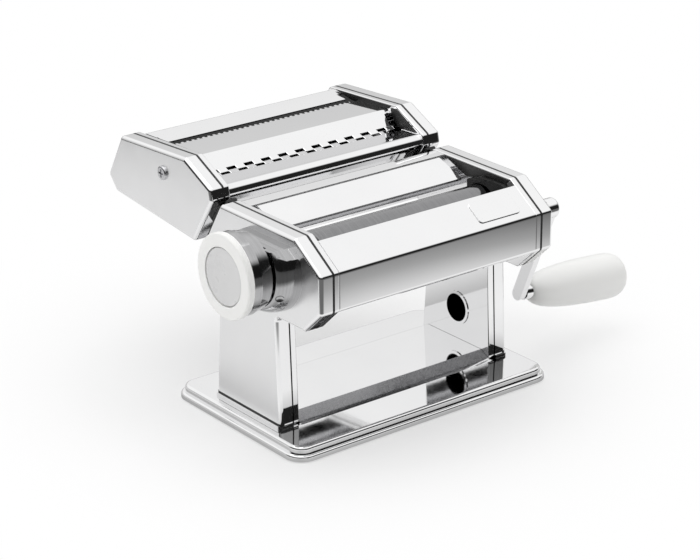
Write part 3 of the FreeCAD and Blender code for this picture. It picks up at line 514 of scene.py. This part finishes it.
crankGrip = {"profile": [(68, 0), (68, 2.6), (67.6, 3.15), (66.6, 3.15), (9, 3.15), (7.4, 3.15),  # pin's bore
                         (6.9, 3.4), (6.9, 4.8), (7.5, 6.2), (9.8, 8.3), (14, 10.5), (22, 12.5), (36, 14.2),
                         (54, 15.1), (70, 15.3), (79, 15.2), (83.4, 14.3), (85.8, 11.9), (86.4, 8.5),
                         (86.4, 4), (86.4, 0)],
             "armFace": 107.5, "throw": 71.3, "droop": 7, "lean": 22.4, "axis": (-53.553, 110.6),
             "steps": 48, "smoothing": 2, "edge": 0.2}
knobDish = {"profile": [(-122.5, 0), (-122.6, 5), (-122.95, 10.5), (-123.35, 14.5), (-123.6, 16.6),
                        (-123.5, 17.2), (-122.9, 17.45), (-121.6, 17.45), (-121.4, 17), (-121.4, 3),
                        (-120.6, 2.8), (-120.5, 0)],
            "axis": (-27.6, 113.8), "steps": 96, "edge": 0.1}
boss = {"profile": [(-88.9, 4.4), (-88.9, 28.6), (-91, 28.5), (-94, 28.2), (-97, 27.5), (-99.5, 26.5),
                    (-101.8, 25.3), (-103.3, 24.3), (-104, 23.2), (-104, 19.3), (-101.3, 19.3),
                    (-101.3, 14.7), (-104, 14.7), (-104, 4.4), (-88.9, 4.4)],
        "axis": (-27.6, 113.8), "steps": 96, "edge": 0.7,
        "face": [(34, 60), (34, 112), (21.5, 129.3), (-47, 129.3), (-67.8, 115.3), (-67.8, 60)],
        "faceDepth": (-80, -40),  # the boss is trimmed to the flat of the cap
        "dimple": (-101.6, -51.9, 100.8), "dimpleRadius": 3.4, "dimpleSteps": 32}
makeGrip()
makeDish()
makeBoss()
print("turned pieces set")


# painted shade: black bands in the seams between plates and covers, darkening the gaps

def makeBand(name, body, band):
    outline = band["outline"]
    for side, end in sides:
        piece = prism(name + side, outline, end * band["from"], end * band["width"])
        for before, corner, after in zip(outline[-1:] + outline, outline, outline[1:] + outline[:1]):
            if corner[1] > band["foot"]:
                selectAlong(piece, place(0, *corner))
                roundEdges(band["round"] * math.tan(turnAt(before, corner, after) / 2), seam["steps"])
        bpy.ops.object.mode_set(mode="OBJECT")
        for face in piece.data.polygons:  # both ends, and the foot of a band that stands on the base
            foot = face.normal.z < -seam["level"] and face.center.z < band["foot"] / 1000
            face.select = abs(face.normal.x) > seam["across"] or foot
        bpy.ops.object.mode_set(mode="EDIT")
        bpy.ops.mesh.select_mode(type="FACE")
        bpy.ops.mesh.delete(type="FACE")
        bpy.ops.mesh.select_all(action="SELECT")
        bpy.ops.transform.shrink_fatten(value=band["proud"] / 1000)
        bpy.ops.object.mode_set(mode="OBJECT")
        thicken(piece, seam["thickness"], False)
        finishPiece(piece, band["like"], body, seam["edge"], False)


def turnAt(before, corner, after):
    first = Vector((corner[0] - before[0], corner[1] - before[1]))
    second = Vector((after[0] - corner[0], after[1] - corner[1]))
    return first.angle(second)


seam = {"thickness": 0.9, "steps": 6, "edge": 0.12, "across": 0.9, "level": 0.99}
bodySeamShade = {"outline": [(33, 9), (27.3, 80), (40, 98), (40, 110), (24.5, 135), (-49, 135), (-73.5, 118.5),
                        (-73.5, 95), (-57.5, 80), (-30, 80), (-33, 9)],
            "foot": 9.5, "from": 78.7, "width": 1.6, "round": 3, "proud": 0.1, "like": "seam_liners"}
cutterSeamShade = {"outline": [(131, 150.3), (61, 154.2), (34.3, 141.3), (32.7, 134), (53, 103), (100, 107.5),
                          (139, 111.5), (147.5, 121.5)],
              "foot": 0, "from": 78.7, "width": 1.6, "round": 3, "proud": 0.1, "like": "cutter_seam_liners"}
makeBand("bodySeamShade", "frame", bodySeamShade)
makeBand("cutterSeamShade", "cutter_head", cutterSeamShade)
print("seam bands set")


# painted shade: a dark line above the lip at each leg's foot

def makeFootShadeLine(name, end):
    x, y, z = [sum(footShadeLine[key]) / 2 for key in "xyz"]
    clearSelection()
    bpy.ops.mesh.primitive_cube_add(size=1, location=place(end * x, y, z))
    piece = bpy.context.object
    piece.name = name
    piece.scale = [(footShadeLine[key][1] - footShadeLine[key][0]) / 1000 for key in "xyz"]
    bpy.ops.object.transform_apply(location=True, rotation=True, scale=True)
    outer = place(end * footShadeLine["x"][1], 0, 0).x
    selectEdges(piece, lambda a, b: max(abs(a.x - outer), abs(b.x - outer), abs(a.y - b.y)) < tiny)
    roundEdges(footShadeLine["round"], footShadeLine["steps"])
    bpy.ops.object.mode_set(mode="OBJECT")
    finishPiece(piece, footShadeLine["like"], "frame", footShadeLine["edge"], False)


footShadeLine = {"x": (86, 89.12), "y": (-32.95, 32.95), "z": (11.0, 12.0), "round": 2.4, "steps": 6,
            "edge": 0.1, "like": "seam_liners"}
for side, end in sides:
    makeFootShadeLine("footShadeLine" + side, end)
print("foot lines set")


# thin dark plates on the insides of the end plates: in the hopper they carry on the black end guides, in the
# cutter head they are painted shade

def makeGuideAndShadePlates(name, body, darkPlate):
    for side, end in sides:
        piece = prism(name + side, darkPlate["outline"], end * plateSetting["from"], -end * darkPlate["thickness"])
        finishPiece(piece, "hopper_end_guides", body, plateSetting["edge"], False)


plateSetting = {"from": 74.95, "edge": 0.2}
feedLining = {"outline": [(-49, 134.2), (-46, 131.2), (-26, 130.7), (-14, 126.7), (-9.3, 126), (12.6, 134.2)],
              "thickness": 0.7}
cutterRearShade = {"outline": [(124, 150.5), (106.5, 147.2), (100.5, 147.2), (68.5, 150.6), (66, 153.2)],
              "thickness": 0.7}
cutterWideShade = {"outline": [(65, 148.2), (60.5, 142.4), (55.5, 140.4), (40, 141.4), (60.5, 152.2), (66, 151.6)],
              "thickness": 0.7}
makeGuideAndShadePlates("feedLining", "frame", feedLining)
makeGuideAndShadePlates("cutterRearShade", "cutter_head", cutterRearShade)
makeGuideAndShadePlates("cutterWideShade", "cutter_head", cutterWideShade)
print("linings set")


# the solids' own shapes with eased edges

def easedCopy(name, nodeName, body, easing):
    clearSelection()
    piece = bpy.data.objects.new(name, nodes[nodeName].data.copy())
    bpy.context.scene.collection.objects.link(piece)
    onlySelect(piece)
    bpy.ops.mesh.customdata_custom_splitnormals_clear()
    bpy.ops.object.mode_set(mode="EDIT")
    bpy.ops.mesh.select_all(action="SELECT")
    bpy.ops.mesh.remove_doubles(threshold=tiny)
    bpy.ops.mesh.dissolve_limited(angle_limit=math.radians(flatAngle))
    if "trimAt" in easing:
        bpy.ops.mesh.select_all(action="SELECT")
        bpy.ops.mesh.bisect(plane_co=place(0, *easing["trimAt"]), plane_no=(0, *easing["trimAway"]),
                            use_fill=True, clear_outer=True)
    bpy.ops.object.mode_set(mode="OBJECT")
    finishPiece(piece, nodeName, body, easing["edge"])


flatAngle = 0.5  # degrees; faces that turn less than this become one
crankArm = {"edge": 0.9}
slideChannels = {"edge": 0.5, "trimAt": (29.2, 127.4), "trimAway": (-0.527, 0.85)}  # up the slanted back
barePlate = {"edge": 0.2}
sideCover = {"edge": 0.45}
easedCopy("crankArm", "crank_arm", "crank", crankArm)
easedCopy("slideChannels", "cutter_channels", "cutter_head", slideChannels)
easedCopy("barePlate", "name_badge", "frame", barePlate)
easedCopy("knobCover", "left_side_cover", "frame", sideCover)
easedCopy("crankCover", "right_side_cover", "frame", sideCover)
easedCopy("cutterKnobCover", "cutter_left_cover", "cutter_head", sideCover)
easedCopy("cutterCrankCover", "cutter_right_cover", "cutter_head", sideCover)
print("edges eased")


# floor, studio and camera

def makeFloor():
    clearSelection()
    bpy.ops.mesh.primitive_plane_add(size=sweep["size"], location=(0, 0, 0))
    floor = bpy.context.object
    floor.name = "floor"
    material, tree, shader = startMaterial("paleFloor")
    shader.inputs["Base Color"].default_value = (*sweep["colour"], 1)
    shader.inputs["Roughness"].default_value = sweep["rough"]
    shader.inputs["Specular IOR Level"].default_value = sweep["shine"]
    path = tree.nodes.new("ShaderNodeLightPath").outputs
    seen = reachFrom(tree, sweep["middle"], sweep["white"])  # the white sweep, with a shadow near the machine
    table = reachFrom(tree, sweep["tableMiddle"], sweep["table"])  # a painted reflection: the glow that polished metal mirrors in the floor, dimmer close round the machine and dark far off
    # painted shadow: that mirrored glow is darker beside the base's edges
    mirrored = mathStep(tree, "MULTIPLY", table, besideBase(tree, sweep["shadow"]))
    glow = tree.nodes.new("ShaderNodeEmission")
    tree.links.new(blend(tree, path["Is Camera Ray"], mirrored, white), glow.inputs["Color"])
    cameraShare = mathStep(tree, "MULTIPLY", path["Is Camera Ray"], seen)
    glossShare = mathStep(tree, "MULTIPLY", path["Is Glossy Ray"], sweep["glossShare"])
    mix = tree.nodes.new("ShaderNodeMixShader")
    tree.links.new(mathStep(tree, "MAXIMUM", cameraShare, glossShare), mix.inputs["Fac"])
    tree.links.new(shader.outputs["BSDF"], mix.inputs[1])
    tree.links.new(glow.outputs["Emission"], mix.inputs[2])
    tree.links.new(mix.outputs["Shader"], tree.nodes["Material Output"].inputs["Surface"])
    floor.data.materials.append(material)


def reachFrom(tree, middle, stops):  # a grey for each distance over the floor, in metres
    return greyRamp(tree, distance(tree, objectCoords(tree), place(*middle, 0)), stops)


def besideBase(tree, stops):  # a grey for each distance from the base's edges, in metres
    source = objectCoords(tree)
    nothing = (0, 0, 0)
    for operation, value in (("SUBTRACT", baseMiddle), ("ABSOLUTE", nothing),
                             ("SUBTRACT", (baseHigh - baseLow) / 2), ("MAXIMUM", nothing)):
        step = tree.nodes.new("ShaderNodeVectorMath")
        step.operation = operation
        step.inputs[1].default_value = value
        tree.links.new(source, step.inputs[0])
        source = step.outputs["Vector"]
    return greyRamp(tree, distance(tree, source, nothing), stops)


def makeStudio():
    world = bpy.data.worlds.new("studio")
    bpy.context.scene.world = world
    world.use_nodes = True
    tree = world.node_tree
    back = tree.nodes["Background"]
    split = splitAxes(tree, tree.nodes.new("ShaderNodeTexCoord").outputs["Generated"])
    wall = greyRamp(tree, split["Z"], studio["wall"])  # the white room, greyer towards the floor
    left = spread(tree, split["X"], *studio["darkLeft"])
    front = spread(tree, split["Y"], *studio["darkFront"])
    low = spread(tree, split["Z"], *studio["darkLow"])
    dark = mathStep(tree, "MULTIPLY", mathStep(tree, "MAXIMUM", left, front), low)
    room = blend(tree, dark, wall, studio["dark"])
    path = tree.nodes.new("ShaderNodeLightPath").outputs
    tree.links.new(blend(tree, path["Is Camera Ray"], room, white), back.inputs["Color"])
    back.inputs["Strength"].default_value = 1
    for name, lamp in studio["lamps"].items():
        light = bpy.data.lights.new(name, "AREA")
        light.shape = "RECTANGLE"
        light.size, light.size_y = lamp["size"]
        light.energy = lamp["power"]
        holder = bpy.data.objects.new(name, light)
        bpy.context.scene.collection.objects.link(holder)
        holder.location = place(*lamp["at"])
        aim = place(*studio["aim"]) - holder.location
        holder.rotation_euler = aim.to_track_quat("-Z", "Y").to_euler()
        holder.visible_glossy = name == "topBox"  # the fills aren't mirrored in the steel


def makeCamera():
    turn, rise, roll = [math.radians(eye[key]) for key in ("azimuth", "elevation", "roll")]
    right = Vector((math.cos(turn), math.sin(turn), 0))
    back = Vector((math.sin(turn) * math.cos(rise), -math.cos(turn) * math.cos(rise), math.sin(rise)))
    up = back.cross(right)
    across = right * math.cos(roll) + up * math.sin(roll)
    upward = up * math.cos(roll) - right * math.sin(roll)
    lens = bpy.data.cameras.new("camera")
    lens.lens = eye["lens"]
    lens.sensor_width = eye["sensor"]
    lens.clip_end = eye["farthest"]
    camera = bpy.data.objects.new("camera", lens)
    bpy.context.scene.collection.objects.link(camera)
    camera.matrix_world = Matrix((across, upward, back)).transposed().to_4x4()
    camera.location = place(*eye["target"]) + back * eye["distance"] / 1000
    bpy.context.scene.camera = camera


sweep = {"size": 12, "colour": (0.9, 0.9, 0.9), "rough": 0.9, "shine": 0.1, "glossShare": 0.88,
         "middle": (0, 40), "white": [(0.15, 0.45), (0.29, 1)],
         # painted shadow beside the base, then the painted reflection's glow by distance from tableMiddle
         "shadow": [(0, 0.42), (0.01, 0.66), (0.04, 1)],
         "tableMiddle": (120, 280),
         "table": [(0.3, 0.78), (0.41, 0.95), (0.525, 0.87), (0.572, 0.3), (0.62, 0.03)]}
studio = {"wall": [(0, 0.42), (0.29, 0.76), (0.5, 1)], "dark": (0.015, 0.015, 0.015),
          "darkLeft": (-0.62, -0.8), "darkFront": (-0.1, -0.4), "darkLow": (0.62, 0.44),
          "aim": (0, 0, 80),
          "lamps": {"topBox": {"at": (-100, 300, 1500), "size": (1.6, 1.2), "power": 6},
                    "leftFill": {"at": (-1050, 120, 420), "size": (0.9, 0.9), "power": 2.4},
                    "rightFill": {"at": (700, -900, 700), "size": (0.9, 0.9), "power": 2.4}}}
eye = {"azimuth": -37.8925, "elevation": 21.8795, "roll": -0.34494, "lens": 121.246, "sensor": 36,
       "distance": 1446.186, "target": (-9.32, 1.65, 74.06), "farthest": 50}
makeFloor()
makeStudio()
makeCamera()
bpy.context.scene.view_settings.view_transform = "Standard"
print("studio and camera set")
